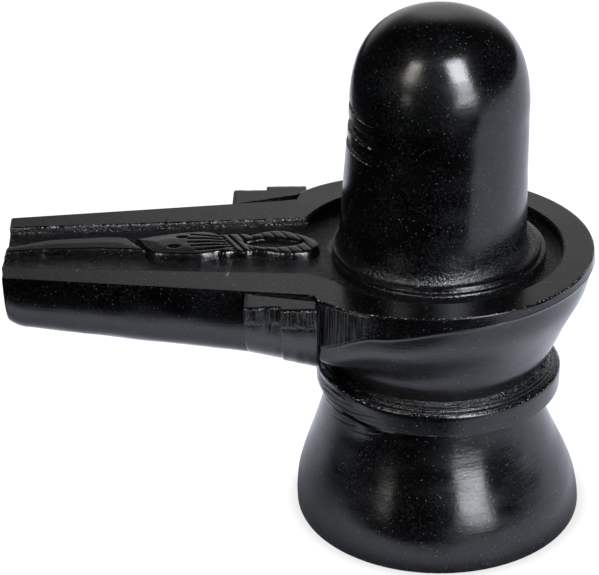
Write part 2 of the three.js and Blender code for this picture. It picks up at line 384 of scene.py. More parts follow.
@dataclass
class Pedestal:
    """The turned foot, waist ring and bowl, swelled towards the spout."""

    steps: int = 256
    row: float = 0.95
    foot_radius: float = 40.5
    foot_flare: tuple[Pair, ...] = (
        *((40.5, 2.5), (40.2, 5), (39.5, 9), (38.65, 12)),
        *((37.2, 16), (34.0, 24), (31.2, 32)),
    )
    foot_shear: float = -0.056
    waist_radius: float = 29.6
    waist_z: float = 38.0
    ring_radius: float = 34.1
    ring_low_z: float = 40.3
    ring_high_z: float = 45.1
    ring_tilt: float = -0.022
    ring_steps: tuple[Pair, ...] = ((32.4, 46.0), (31.3, 46.6))
    neck_radius: float = 29.4
    neck_z: float = 47.4
    bowl_flank: tuple[Pair, ...] = ((32.6, 54), (36.2, 62), (40.3, 70))
    worn_edge: float = 0.4
    rim_radius: float = 42.0
    shoulder_radius: float = 42.6
    shoulder_z: float = 77.4
    swell: Swell = Swell(0.21, 0.08)
    front_lift: float = 1.7
    band_thin: float = 2.4
    band_steps: tuple[Triple, ...] = ((1.4, -50, -90), (3.0, -85, -115), (8.0, -112, -140))
    far_turn: float = 0.9
    facet_bearings: Pair = (-106.0, -126.0)
    flank_bearings: Pair = (-55.0, -115.0)
    flank_swell: float = 0.5
    flank_waves: tuple[Triple, ...] = ((0.4, 65.5, 3.0), (-0.6, 58.5, 2.8))
    waves: tuple[Pair, ...] = ((0.14, 19.0), (0.06, 7.0))
    pecks: Pair = (0.14, 1.1)
    inner_radius: float = 25.0
    lift_span: Pair = (41.0, 46.0)
    lift_fade: Pair = (58.0, 48.0)
    lift_front: Pair = (12.0, -22.0)
    lift_wider: Pair = (45.5, 47.0)
    stroke_width: float = 0.48
    stroke_cut: float = 0.35
    stroke_drop: float = 0.2
    score_start: Pair = (-178.0, -166.0)
    score_end: Pair = (-118.0, -134.0)
    score_low: Pair = (33.0, 38.0)
    score_high: Pair = (52.0, 48.0)
    quiet_bearings: Pair = (-140.0, -118.0)
    quiet_pecks: float = 0.3
    strokes: tuple[Stroke, ...] = (
        (-174, 44.8, -134, 47.0),
        (-160, 46.9, -124, 47.2),
        (-168, 43.5, -135, 44.5),
        (-163, 42.0, -142, 42.9),
        (-152, 45.4, -126, 46.0),
    )

    def profile(self) -> Profile:
        """The turned outline from the underside to the middle of the rim's plane."""
        edge = self.worn_edge
        made = Profile().to(0, 0)
        made.to(self.foot_radius - 1, 0, 6)
        made.to(self.foot_radius - 0.5, 0, worn=0.5).to(self.foot_radius - 0.1, 0.15, worn=0.6)
        made.to(self.foot_radius, 0.5, worn=0.3).to(self.foot_radius + 0.02, 0.9)
        made.through([*self.foot_flare, (self.waist_radius, self.waist_z)], self.row)
        made.to(self.waist_radius, self.ring_low_z - edge, 2)
        made.to(self.ring_radius - 0.2, self.ring_low_z, 4, pecked=0.6)
        made.to(self.ring_radius, self.ring_low_z + 0.2, worn=0.2)
        made.to(self.ring_radius + 0.1, self.ring_high_z - 2 * edge, 9)
        made.to(self.ring_radius + 0.05, self.ring_high_z - 0.6 * edge, pecked=0.2)
        made.to(self.ring_radius - 0.3 * edge, self.ring_high_z, worn=0.5)
        made.to(self.ring_radius - 2 * edge, self.ring_high_z + 0.25, pecked=0.5)
        for reach, z in self.ring_steps:
            made.to(reach, z - 0.45, 3, pecked=0.55)
            made.to(reach - 0.3, z, worn=0.3)
        made.to(self.neck_radius + 0.8, self.neck_z - 0.5, 3, pecked=0.7)
        made.to(self.neck_radius, self.neck_z, pecked=0.6)
        flank = [*self.bowl_flank, (self.shoulder_radius - edge, self.shoulder_z - edge)]
        made.through(flank, self.row)
        made.to(self.shoulder_radius, self.shoulder_z)
        made.to(self.shoulder_radius - 0.1, self.shoulder_z + 0.4)
        made.to(self.rim_radius + edge, RIM_Z - edge, 14)
        made.to(self.rim_radius + 0.6 * edge, RIM_Z - 0.2 * edge, worn=0.45)
        made.to(self.rim_radius - 0.2 * edge, RIM_Z, worn=0.45)
        made.to(self.rim_radius - edge, RIM_Z)
        return made.to(0, RIM_Z, 4)

    def stroke_depth(self, place: Vector) -> float:
        """How deep the chisel strokes on the ring's spout side are at a place."""
        bearing = bearing_of(place)
        deepest = 0.0
        for start, start_z, stop, stop_z in self.strokes:
            share = (bearing - start) / (stop - start)
            if 0 < share < 1:
                off = place.z - lerp(start_z, stop_z, share)
                deepest = max(deepest, bell(off, self.stroke_width) * math.sin(math.pi * share) ** 0.5)
        return deepest

    def hollow(self, place: Vector) -> float:
        """How far the bowl's flank swells or sinks where it was carved by eye."""
        spoutward = smoothstep(*self.flank_bearings, bearing_of(place))
        wave = sum(height * bell(place.z - z, width) for height, z, width in self.flank_waves)
        return self.flank_swell * spoutward * wave

    def band_height(self, bearing: float) -> float:
        """How tall the upright band under the rim is: thin by the shaft's side, deep by the lugs."""
        turn = bearing if bearing < 0 else -self.far_turn * bearing
        side, root, deep = (height * smoothstep(low, high, turn) for height, low, high in self.band_steps)
        return self.band_thin + (side + root) + deep

    def facet_at(self, place: Vector) -> float:
        """How far a place belongs to the upright chiselled facet beside the near lug, 0 to 1."""
        bearing = bearing_of(place)
        if bearing > 0:
            return 0.0
        depth = RIM_Z - place.z
        inside = smoothstep(self.band_height(bearing) + 0.4, self.band_height(bearing) - 0.8, depth)
        return smoothstep(*self.facet_bearings, bearing) * inside

    def scored_at(self, place: Vector) -> float:
        """How far a place belongs to the ring's end that was scored with long strokes, 0 to 1."""
        along = window(self.score_start, self.score_end, bearing_of(place))
        return along * window(self.score_low, self.score_high, place.z)

    def shape(self, place: Vector) -> Vector:
        """Where a place on the turned outline lies on the hand-made one."""
        radius = math.hypot(place.x, place.y)
        out = Vector(place)
        hand = uneven(place, self.waves)
        outer = radius > self.inner_radius
        stroke = self.stroke_depth(place) if outer and 2 < place.z < self.neck_z + 1 else 0.0
        hand -= self.stroke_cut * stroke
        if place.z > self.ring_high_z:
            out.z -= self.stroke_drop * stroke
        if self.neck_z < place.z < self.shoulder_z:
            hand += self.hollow(place)
        if radius > 20 and 1 < place.z < RIM_Z - 0.5:
            widen(out, 1 + hand / radius)
        if place.z > self.neck_z and outer:
            height = smoothstep(self.neck_z, self.shoulder_z, place.z)
            widen(out, 1 + (self.swell.growth(place) - 1) * height)
            drop = RIM_Z - self.shoulder_z - self.band_height(bearing_of(place))
            band = smoothstep(50, self.shoulder_z, place.z)
            if place.z > self.shoulder_z:
                band = (RIM_Z - self.worn_edge - place.z) / (RIM_Z - self.worn_edge - self.shoulder_z)
            if radius > self.neck_radius:
                out.z += drop * clamp(band)
        if place.z < self.waist_z + self.worn_edge:
            out.x += self.foot_shear * place.z
        elif place.z < self.neck_z:
            out.z += self.ring_tilt * place.x
        lift = window(self.lift_span, self.lift_fade, place.z)
        lift *= self.front_lift * smoothstep(*self.lift_front, place.y)
        wider = 1 + 0.5 * lift * smoothstep(*self.lift_wider, place.z) / max(radius, 1)
        return Vector((out.x * wider, out.y * wider, out.z + lift))

    def build(self) -> bpy.types.Object:
        """The pedestal as one closed block."""
        bm = self.profile().spun(self.steps)
        pecked = bm.verts.layers.float["pecked"]
        for vert in bm.verts:
            if self.ring_low_z < vert.co.z < self.neck_z + 1 and max(vert.co.x, vert.co.y) < 0:
                loud = smoothstep(*self.quiet_bearings, bearing_of(vert.co))
                vert[pecked] *= lerp(self.quiet_pecks, 1, loud)
        roughen(bm, *self.pecks)
        reshape(bm, self.shape)
        chased = bm.verts.layers.float["chased"]
        paint(bm, "scored", self.scored_at)
        for vert in bm.verts:
            if vert.co.z < RIM_Z - 0.6:
                vert[chased] = self.facet_at(vert.co)
                vert[pecked] = max(vert[pecked], vert[chased])
        return block(bm, "pedestal")


@dataclass
class Moat:
    """The pecked ring of a moat round the plinth, as the block that is cut for it."""

    steps: int = 256
    radius: float = 34.1
    depth: float = 3.0
    wall_run: float = 0.5
    worn_edge: float = 0.4
    inner_radius: float = 26.0
    above: float = 3.0
    pecks: Pair = (0.22, 1.3)
    swell: Swell = Swell(0.18, 0.03)

    def build(self) -> bpy.types.Object:
        """The cut as one closed block."""
        floor = RIM_Z - self.depth
        cut = Profile().to(0, floor).to(self.inner_radius, floor, 2)
        cut.to(self.radius - self.wall_run - 0.6, floor, 8, pecked=1)
        cut.to(self.radius - self.wall_run, floor + 0.4, pecked=1)
        cut.to(self.radius, RIM_Z - self.worn_edge, 3, pecked=0.5)
        cut.to(self.radius + self.worn_edge, RIM_Z + 0.05, worn=0.35)
        cut.to(self.radius + 2 * self.worn_edge, RIM_Z + self.above).to(0, RIM_Z + self.above, 2)
        bm = cut.spun(self.steps)
        roughen(bm, *self.pecks)
        for vert in bm.verts:
            widen(vert.co, self.swell.growth(vert.co))
        return block(bm, "moat", Skin.TOOLED)


@dataclass
class Shaft:
    """The domed shaft on its stepped plinth, leaning over the pedestal's axis."""

    steps: int = 240
    row: float = 0.85
    plinth_radius: float = 29.3
    plinth_z: float = 81.0
    collar_radius: float = 27.8
    collar_z: float = 82.3
    foot_radius: float = 25.5
    top_radius: float = 24.0
    fillet_z: float = 87.4
    fillet_radius: float = 27.2
    dome_z: float = 120.6
    dome_top_z: float = 149.1
    dome_power: float = 2.6
    offset: float = -1.85
    upright_z: float = 124.0
    bands: tuple[Pair, ...] = ((112.6, 115.3), (117.2, 121.0), (123.3, 125.2))
    band_depth: float = 1.2
    band_slope: float = 0.4
    band_end_x: float = -17.6
    band_lip_wear_and_highlight: float = 0.6
    band_pecks: Pair = (0.16, 0.9)
    plinth_root_z: float = 75.0
    shaft_root_z: float = 78.0
    fillet_rows: int = 8
    dome_rows: int = 30
    waves: tuple[Pair, ...] = ((0.12, 17.0), (0.05, 6.0))
    pecks: Pair = (0.14, 1.1)
    plinth_pecks: Pair = (0.05, 1.2)

    def plinth(self) -> bpy.types.Object:
        """The two low steps that the shaft stands on."""
        made = Profile().to(0, self.plinth_root_z).to(self.plinth_radius, self.plinth_root_z)
        made.to(self.plinth_radius, self.plinth_z - 0.5, 5, pecked=0.4)
        made.rounded(self.plinth_radius, self.plinth_z)
        made.to(self.collar_radius + 0.2, self.plinth_z, 2, pecked=0.4)
        made.to(self.collar_radius, self.collar_z - 0.5, 2, pecked=0.2)
        made.rounded(self.collar_radius, self.collar_z)
        made.to(self.collar_radius - 1.2, self.collar_z, pecked=0.6)
        made.to(0, self.collar_z, 2)
        bm = made.spun(self.steps)
        roughen(bm, *self.plinth_pecks)
        return block(bm, "plinth", Skin.TOOLED)

    def heights(self) -> list[float]:
        """Heights of the rows up the shaft's side, close together at the bands' edges."""
        edges = []
        for low, high in self.bands:
            edges += [low - 0.05, low, low + self.band_slope, high - self.band_slope, high, high + 0.05]
        z = self.fillet_z
        made = []
        while z < self.dome_z + 8:
            if all(abs(z - edge) > 0.3 for edge in edges):
                made.append(z)
            z += self.row
        return sorted([*made, *edges])

    def radius_at(self, z: float) -> float:
        """The shaft's radius at a height."""
        if z < self.dome_z:
            share = (z - self.fillet_z) / (self.dome_z - self.fillet_z)
            return lerp(self.foot_radius, self.top_radius, share)
        rise = clamp((z - self.dome_z) / (self.dome_top_z - self.dome_z))
        return self.top_radius * (1 - rise**self.dome_power) ** (1 / self.dome_power)

    def profile(self) -> Profile:
        """The turned outline from inside the plinth to the crown of the dome."""
        made = Profile().to(0, self.shaft_root_z).to(self.fillet_radius, self.shaft_root_z)
        made.to(self.fillet_radius, self.collar_z, 2, pecked=1)
        for i in range(1, self.fillet_rows + 1):
            share = i / self.fillet_rows
            turn = share * math.pi / 2
            run = (self.fillet_radius - self.foot_radius) * (1 - math.sin(turn))
            z = self.fillet_z - (self.fillet_z - self.collar_z) * math.cos(turn)
            made.to(self.foot_radius + run, z, pecked=0.42 - 0.2 * smoothstep(0.5, 1, share))
        for z in self.heights()[1:]:
            made.to(self.radius_at(z), z, pecked=0.25 * smoothstep(self.fillet_z + 6, self.fillet_z, z))
        start = made.points[-1][1]
        turn = math.acos(clamp((self.radius_at(start) / self.top_radius) ** (self.dome_power / 2)))
        for i in range(1, self.dome_rows):
            at = lerp(turn, math.pi / 2, i / self.dome_rows)
            rise = math.sin(at) ** (2 / self.dome_power)
            reach = math.cos(at) ** (2 / self.dome_power)
            made.to(self.top_radius * reach, lerp(self.dome_z, self.dome_top_z, rise))
        return made.to(0, self.dome_top_z)

    def band_at(self, place: Vector) -> float:
        """How deep the bands across the spout's side are at a place."""
        if place.x > self.band_end_x:
            return 0.0
        for low, high in self.bands:
            into = min(place.z - low, high - place.z)
            if into > 1e-3:
                return self.band_depth * clamp(into / self.band_slope)
        return 0.0

    def shape(self, place: Vector) -> Vector:
        """Where a place on the turned outline lies on the leaning, hand-polished shaft."""
        radius = math.hypot(place.x, place.y)
        out = Vector(place)
        hand = uneven(place, self.waves)
        depth = self.band_at(place)
        if depth:
            depth += uneven(place, (self.band_pecks,))
        if radius > 5 and place.z > self.fillet_z:
            widen(out, 1 + (hand - depth) / radius)
        left = (self.upright_z - place.z) / (self.upright_z - RIM_Z)
        out.x += self.offset * clamp(left)
        return out

    def build(self) -> bpy.types.Object:
        """The shaft as one closed block."""
        bm = self.profile().spun(self.steps)
        pecked, worn = (bm.verts.layers.float[mask] for mask in ("pecked", "worn"))
        edges = [z for band in self.bands for z in band]
        for vert in bm.verts:
            if self.band_at(vert.co) > 0.5:
                vert[pecked] = 0.7
            # Pale worn tone on the grooves' edges: partly wear, and partly a painted highlight along their
            # lips
            if vert.co.x < self.band_end_x and any(abs(vert.co.z - z) < 0.02 for z in edges):
                vert[worn] = self.band_lip_wear_and_highlight
        roughen(bm, *self.pecks)
        reshape(bm, self.shape)
        return block(bm, "shaft")


@dataclass
class Spout:
    """The long spout's hull, with a stepped lug and a slot on either side of its root."""

    end_x: float = -119.0
    root_x: float = -40.0
    inner_x: float = -22.0
    end_half: float = 18.3
    root_half: float = 28.4
    end_skew: float = 0.074
    end_depth: float = 20.8
    root_depth: float = 28.8
    power: float = 2.6
    end_round: float = 5.0
    end_lift: float = 0.9
    worn_edge: float = 0.45
    end_run: float = 0.6
    end_rows: tuple[float, ...] = (0, 0.12, 0.3, 0.55, 0.9, 1.6)
    rim_run: float = 0.8
    rim_share: float = 0.97
    wear: Pair = (0.3, 0.25)
    side_steps: int = 60
    top_steps: int = 14
    row: float = 1.1
    lug_out: float = -55.0
    lug_step: float = -45.6
    lug_root: dict[Bank, float] = by_bank(-37.2, -32.6)
    lug_out_half: dict[Bank, float] = by_bank(36.1, 35.6)
    lug_root_half: dict[Bank, float] = by_bank(38.5, 36.9)
    lug_drop: float = 0.4
    lug_depth: float = 26.0
    lug_section: Pair = (26.2, 32.0)
    lug_power: float = 2.0
    lug_cuts: int = 24
    lug_inner: float = 16.0
    lug_edge: float = 0.45
    lug_band: Pair = (-6.0, -3.5)
    lug_pecks: Pair = (0.3, 1.4)
    lug_reach: float = 0.985
    lug_wave: float = 0.2
    lug_wave_size: Triple = (2.2, 6.0, 9.0)
    notch_span: Pair = (-12.0, -6.0)
    notch_width: float = 0.5
    notch_depth: float = 0.9
    notch_offsets: Triple = (0.5, 2.1, 4.0)
    waves: tuple[Pair, ...] = ((0.18, 15.0), (0.08, 5.0))
    lug_shift: dict[Bank, float] = by_bank(-3.2, 3.2)
    slot_tip: float = -53.0
    slot_wide: float = -36.5
    slot_tip_width: float = 1.0
    slot_width: dict[Bank, float] = by_bank(4.4, 3.0)
    slot_depth: float = 5.0

    def share(self, x: float) -> float:
        """How far along the spout a place is, 0 at its end and 1 at its root."""
        return (x - self.end_x) / (self.root_x - self.end_x)

    def half(self, x: float) -> float:
        """Half the spout's width."""
        return lerp(self.end_half, self.root_half, self.share(x))

    def depth(self, x: float) -> float:
        """The spout's depth below the rim."""
        lift = clamp(1 - (x - self.end_x) / self.end_round)
        full = lerp(self.end_depth, self.root_depth, self.share(x))
        return full * (1 - (1 - self.end_lift) * lift * lift)

    def section(self) -> list[Pair]:
        """The hull's rounded U section as shares of its half width and depth, from the far rim down."""
        made = []
        for i in range(self.side_steps + 1):
            turn = i / self.side_steps * math.pi
            across = math.copysign(abs(math.cos(turn)) ** (2 / self.power), math.cos(turn))
            made.append((across, -(math.sin(turn) ** (2 / self.power)) if 0 < i < self.side_steps else 0.0))
        top = [(lerp(-1, 1, i / self.top_steps), 0.0) for i in range(1, self.top_steps)]
        return made + top

    def rows(self) -> list[float]:
        """Places of the rows along the hull, close together at its end."""
        made = [self.end_x + step for step in self.end_rows]
        while made[-1] < self.inner_x - self.row:
            made.append(made[-1] + self.row)
        return made

    def hull(self) -> bpy.types.Object:
        """The hull: its section drawn along the spout, tapered, with its rim and end worn round."""
        section = self.section()
        rows = self.rows()
        bm = bmesh.new()
        worn = bm.verts.layers.float.new("worn")
        ring = bmesh.ops.create_circle(bm, cap_ends=True, radius=1, segments=len(section))["verts"]
        for vert, (across, down) in zip(ring, section):
            vert.co = (0, across, down)
        cap = bm.faces[:]
        for index in range(1, len(rows)):
            grown = bmesh.ops.extrude_face_region(bm, geom=cap)["geom"]
            bmesh.ops.translate(bm, verts=verts_of(grown), vec=(1, 0, 0))
            if index > 1:
                bmesh.ops.delete(bm, geom=cap, context="FACES_ONLY")
            cap = [item for item in grown if isinstance(item, bmesh.types.BMFace)]
        for vert in bm.verts:
            x = rows[round(vert.co.x)]
            across, down = vert.co.y, vert.co.z
            near_end = 1 - clamp((x - self.end_x) / self.end_run)
            in_from_end = self.worn_edge * (1 - math.sqrt(max(0.0, 1 - near_end * near_end)))
            y = across * (self.half(x) - in_from_end)
            drop = down * (self.depth(x) - in_from_end) - (in_from_end if down == 0 else 0)
            corner = clamp(1 - abs(down) * self.depth(x) / self.rim_run)
            corner *= smoothstep(self.rim_share, 1, abs(across))
            y -= math.copysign(self.worn_edge, across) * corner**2 * 0.6
            place = Vector((x, y, RIM_Z + drop))
            hand = uneven(place, self.waves)
            if down < -0.02:
                place.y += hand * across
                place.z += hand * down
            place.x -= self.end_skew * y * (1 - self.share(x))
            vert.co = place
            vert[worn] = self.wear[0] * corner + self.wear[1] * near_end
        return block(bm, "hull")

    def lug(self, bank: Bank, out: float, half: float, seed: float) -> bpy.types.Object:
        """One block of a stepped lug, upright at its top and leaning in below.

        Args:
            bank: Its side of the spout.
            out: Where its end is along the spout.
            half: How far it stands out from the spout's middle.
            seed: Where its tool marks are taken from.

        Returns:
            The block.
        """
        side, shift = bank.value, self.lug_shift[bank]
        low = Vector((out + shift, self.lug_inner, -self.lug_depth))
        high = Vector((self.lug_root[bank], half, 0))
        bm = bmesh.new()
        bmesh.ops.create_cube(bm, size=1)
        for vert in bm.verts:
            shares = [c + 0.5 for c in vert.co]
            vert.co = [lerp(a, b, s) for a, b, s in zip(low, high, shares)]
        worn_back = {"offset": self.lug_edge, "segments": 2, "profile": 0.5}
        bmesh.ops.bevel(bm, geom=bm.edges[:], affect="EDGES", material=-1, **worn_back)
        long_edges = [e for e in bm.edges if e.calc_length() > 3]
        bmesh.ops.subdivide_edges(bm, edges=long_edges, cuts=self.lug_cuts, use_grid_fill=True)
        band = self.lug_band
        rim = (high.y - 0.6, high.y - 0.2)
        paint(bm, "pecked", lambda p: 0.7 * smoothstep(*band, p.z) * smoothstep(-0.05, -0.5, p.z))
        paint(bm, "chased", lambda p: 0.8 * smoothstep(*band, p.z) * smoothstep(-0.1, -0.5, p.z))
        paint(bm, "worn", lambda p: 0.5 * smoothstep(-0.55, -0.1, p.z) * smoothstep(*rim, p.y))
        roughen(bm, *self.lug_pecks)
        for vert in bm.verts:
            at = vert.co
            along = clamp((at.x - self.lug_out - shift) / (high.x - self.lug_out - shift))
            down = self.lug_reach * clamp(-at.z / self.lug_depth)
            lean = (1 - down**self.lug_power) ** (1 / self.lug_power)
            deep = lerp(*self.lug_section, along)
            wave = [c / size for c, size in zip(at, self.lug_wave_size)]
            hand = self.lug_wave * noise.noise(Vector((wave[0] + seed, *wave[1:])))
            notch = self.notch_depth * sum(bell(at.x - x, self.notch_width) for x in self.notches(bank))
            cut = notch * smoothstep(*self.notch_span, at.z) * smoothstep(high.y - 3, high.y, at.y)
            y = (at.y + hand - cut) * lean
            vert.co = (at.x, side * y, RIM_Z - self.lug_drop - down * deep)
        return block(bm, "lug")

    def notches(self, bank: Bank) -> tuple[float, ...]:
        """Where upright chisel notches were left on a lug, beside its step."""
        step = self.lug_step + self.lug_shift[bank]
        return tuple(step - off for off in self.notch_offsets) if bank is Bank.NEAR else ()

    def lugs(self, bank: Bank) -> list[bpy.types.Object]:
        """The two blocks of a bank's stepped lug."""
        outer = self.lug(bank, self.lug_out, self.lug_out_half[bank], 3.0)
        inner = self.lug(bank, self.lug_step, self.lug_root_half[bank], 11.0)
        return [outer, inner]

    def slot(self, bank: Bank) -> bpy.types.Object:
        """The wedge that is cut between a lug and the spout's rim."""
        side, shift = bank.value, self.lug_shift[bank]
        tip, wide = self.slot_tip + shift, self.slot_wide + shift
        bm = bmesh.new()
        corners = [
            (tip, side * self.half(tip)),
            (wide, side * self.half(wide)),
            (wide + self.slot_tip_width, side * (self.half(wide) + self.slot_width[bank])),
            (tip, side * (self.half(tip) + self.slot_tip_width)),
        ]
        base = bm.faces.new([bm.verts.new((x, y, RIM_Z - self.slot_depth)) for x, y in corners])
        grown = bmesh.ops.extrude_face_region(bm, geom=[base])["geom"]
        bmesh.ops.translate(bm, verts=verts_of(grown), vec=(0, 0, self.slot_depth + 4))
        paint(bm, "pecked", lambda p: 1.0)
        return block(bm, "slot", Skin.TOOLED)


@dataclass
class Channel:
    """The open channel along the spout, as the block that is cut for it."""

    start_x: float = -124.0
    root_x: float = -35.0
    mouth_x: float = -30.6
    end_x: float = -27.5
    depth: float = 2.4
    end_half: float = 11.8
    root_half: float = 16.6
    mouth_half: float = 19.5
    columns: int = 150
    lanes: int = 34
    worn_edge: float = 0.4
    inset: float = 0.1
    dish: float = 0.25
    chips: Pair = (0.25, 0.9)
    pecks: Pair = (0.24, 1.3)

    def half(self, x: float) -> float:
        """Half the channel's width."""
        if x < self.root_x:
            return lerp(self.end_half, self.root_half, (x - self.start_x) / (self.root_x - self.start_x))
        share = (x - self.root_x) / (self.mouth_x - self.root_x)
        return lerp(self.root_half, self.mouth_half, min(share, 1.6))

    def build(self) -> bpy.types.Object:
        """The cut as one closed block: a pecked floor, rough walls and a worn rim, with pale dots at the
        walls' foot and top that also paint glints on the rough walls.
        """
        bm = bmesh.new()
        pecked = bm.verts.layers.float.new("pecked")
        worn = bm.verts.layers.float.new("worn")
        chased = bm.verts.layers.float.new("chased")
        bmesh.ops.create_grid(bm, x_segments=self.columns, y_segments=self.lanes, size=1)
        floor = RIM_Z - self.depth
        for vert in bm.verts:
            x = lerp(self.start_x, self.end_x, (vert.co.x + 1) / 2)
            y = vert.co.y * (self.half(x) - self.inset)
            dish = self.dish * (1 - vert.co.y**2)
            vert.co = (x, y, floor - dish)
            vert[pecked] = 1.0
        height, width = self.chips
        # The last number of each row is its pale worn tone: at the walls' foot and top edge it is partly
        # chipped wear and partly painted glints
        walls = [(0.03, floor + 0.6, 0.5), (0.07, floor + 1.3, 0.1), (0.12, RIM_Z - self.worn_edge, 0.48)]
        walls += [(0.12 + self.worn_edge, RIM_Z + 0.05, 0.3), (0.9, RIM_Z + 3, 0)]
        for out, z, mark in walls:
            on_wall = z < RIM_Z - 0.2
            grown = bmesh.ops.extrude_edge_only(bm, edges=open_edges(bm))["geom"]
            for vert in verts_of(grown):
                side = math.copysign(1, vert.co.y)
                chipped = height * noise.noise(Vector((vert.co.x / width, side, z))) if on_wall else 0
                base = self.half(vert.co.x) - self.inset
                if abs(vert.co.y) > base - 0.6:
                    vert.co.y = side * (base + out) + chipped * (1 if side > 0 else 0.5)
                vert.co.z = z
                vert[worn] = mark
                vert[pecked] = 0.7 if on_wall else 0.0
                vert[chased] = 0.1
        bmesh.ops.edgeloop_fill(bm, edges=open_edges(bm))
        close(bm)
        roughen(bm, *self.pecks)
        return block(bm, "channel", Skin.TOOLED)


@dataclass
class Snake:
    """The low relief in the channel: a ridge from the spout's end, and a snake's hood and looped body."""

    low_x: float = -119.6
    high_x: float = -29.0
    low_y: float = -6.5
    high_y: float = 12.5
    columns: int = 270
    lanes: int = 58
    buried: Pair = (78.3, 77.5)
    ridge_z: float = 80.5
    top_z: float = 80.9
    hole_z: float = 80.0
    foot_run: float = 0.4
    lip_run: float = 0.65
    ridge: Outline = outline(
        *((-119.6, -1.6), (-107, 0), (-93, 0.2), (-80, -0.8)),
        *((-86.5, 7.6), (-92, 8), (-108, 6.5), (-119.6, 1.8)),
        smooth=False,
    )
    hood: Outline = outline(
        *((-84.2, 5.6), (-79.2, -2.4), (-72, -4.2), (-65, -4.2), (-60, -2.4)),
        *((-55.5, -1.4), (-58, 4.6), (-60.5, 8), (-65, 10.1), (-74.5, 8.8)),
    )
    loop: Outline = outline(
        *((-57, 4.4), (-54, -1.5), (-47, -2.8), (-41.5, -4.4), (-35, -3.2)),
        *((-32.6, 1.8), (-35.5, 6.2), (-43.5, 10.3), (-50, 8.7)),
    )
    hole: Outline = outline(
        *((-53.2, 3.3), (-48, 4.9), (-42, 4.2), (-37.8, 2.6)),
        *((-41, 0.9), (-46, 0.4), (-50.5, 1.2)),
    )
    neck: Outline = outline(
        *((-61, 8), (-53, 8.4), (-50.5, 4), (-51, -2.2), (-56, -2.8), (-60, -2.4)),
    )
    eyes: tuple[Pair, ...] = ((-70.9, 5.9), (-72.7, 0.2))
    eye_size: Pair = (2.0, 0.95)
    eye_depth: float = 0.9
    groove_width: float = 0.42
    groove_depth: float = 0.45
    root_drop: float = 1.5
    bury_span: Pair = (-46.0, -40.0)
    hood_swell: float = 0.3
    body_swell: float = 0.15
    stripe_slant: float = 0.55
    stripe_pitch: float = 3.1
    stripe_width: float = 0.12
    stripe_depth: float = 0.22
    neck_groove_depth: float = 0.28
    sway: Pair = (0.07, 1.7)
    grooves: tuple[tuple[Pair, Pair], ...] = (
        ((-68.5, 7.6), (-60.3, 6.0)),
        ((-69.5, 5.0), (-59.2, 4.5)),
        ((-69.0, 2.6), (-58.2, 2.9)),
        ((-68.0, 0.4), (-57.2, 1.5)),
        ((-66.0, -1.8), (-56.4, 0.2)),
        ((-60.9, 8.2), (-55.9, -1.6)),
        ((-58.0, 6.8), (-53.6, -2.0)),
        ((-55.4, 7.6), (-51.6, -1.6)),
    )

    def groove_at(self, x: float, y: float) -> float:
        """How deep the fine lines on the hood and neck are at a place, 0 to 1."""
        deepest = 0.0
        for (x0, y0), (x1, y1) in self.grooves:
            run = Vector((x1 - x0, y1 - y0))
            off = Vector((x - x0, y - y0))
            along = clamp(off.dot(run) / run.length_squared)
            deepest = max(deepest, 1 - (off - run * along).length / self.groove_width)
        return max(0.0, deepest)

    def eye_at(self, x: float, y: float) -> float:
        """How deep an eye's pit is at a place, 0 to 1."""
        deepest = 0.0
        for eye_x, eye_y in self.eyes:
            long, short = (x - eye_x) / self.eye_size[0], (y - eye_y) / self.eye_size[1]
            deepest = max(deepest, 1 - math.hypot(long, short))
        return max(0.0, deepest)

    def rise(self, inside: float) -> float:
        """How far up a form's side a place is, 0 at its foot and 1 on its top."""
        return smoothstep(-self.foot_run, self.lip_run, inside)

    def height(self, x: float, y: float) -> float:
        """The relief's height at a place, buried under the floor outside its forms."""
        low = lerp(*self.buried, smoothstep(*self.bury_span, x))
        made = low
        in_ridge = self.ridge.inside(x, y)
        if in_ridge > -self.foot_run:
            made = lerp(low, self.ridge_z + self.body_swell * clamp(in_ridge / 4), self.rise(in_ridge))
        in_hood = self.hood.inside(x, y)
        if in_hood > -self.foot_run:
            top = self.top_z + self.hood_swell * smoothstep(0, 5, in_hood)
            top -= self.groove_depth * self.groove_at(x, y)
            top -= self.eye_depth * self.eye_at(x, y)
            made = max(made, lerp(low, top, self.rise(in_hood)))
        in_loop = max(self.loop.inside(x, y), self.neck.inside(x, y))
        low = lerp(low, self.hole_z, self.rise(in_loop))
        in_loop = min(in_loop, -self.hole.inside(x, y))
        made = max(made, low)
        if in_loop > -self.foot_run:
            stripe = abs((x + self.stripe_slant * y) / self.stripe_pitch % 1 - 0.5)
            cut = self.stripe_depth * smoothstep(self.stripe_width, 0.0, stripe)
            cut += self.neck_groove_depth * self.groove_at(x, y)
            top = self.top_z + self.body_swell * smoothstep(0, 2, in_loop) - cut
            made = max(made, lerp(low, top, self.rise(in_loop)))
        return made

    def build(self) -> bpy.types.Object:
        """The relief as one closed block, rooted in the channel's floor."""
        bm = bmesh.new()
        bmesh.ops.create_grid(bm, x_segments=self.columns, y_segments=self.lanes, size=1)
        amount, width = self.sway
        for vert in bm.verts:
            x = lerp(self.low_x, self.high_x, (vert.co.x + 1) / 2)
            y = lerp(self.low_y, self.high_y, (vert.co.y + 1) / 2)
            sway = amount * noise.noise(Vector((x / width, y / width, 0)))
            vert.co = (x, y, self.height(x + sway, y - sway))
        grown = bmesh.ops.extrude_edge_only(bm, edges=open_edges(bm))["geom"]
        for vert in verts_of(grown):
            vert.co.z = self.buried[1] - self.root_drop
        bmesh.ops.edgeloop_fill(bm, edges=open_edges(bm))
        paint(bm, "pecked", lambda p: 0.7 * smoothstep(-0.2, 0.5, self.hole.inside(p.x, p.y)))
        return block(bm, "snake", Skin.CARVED)


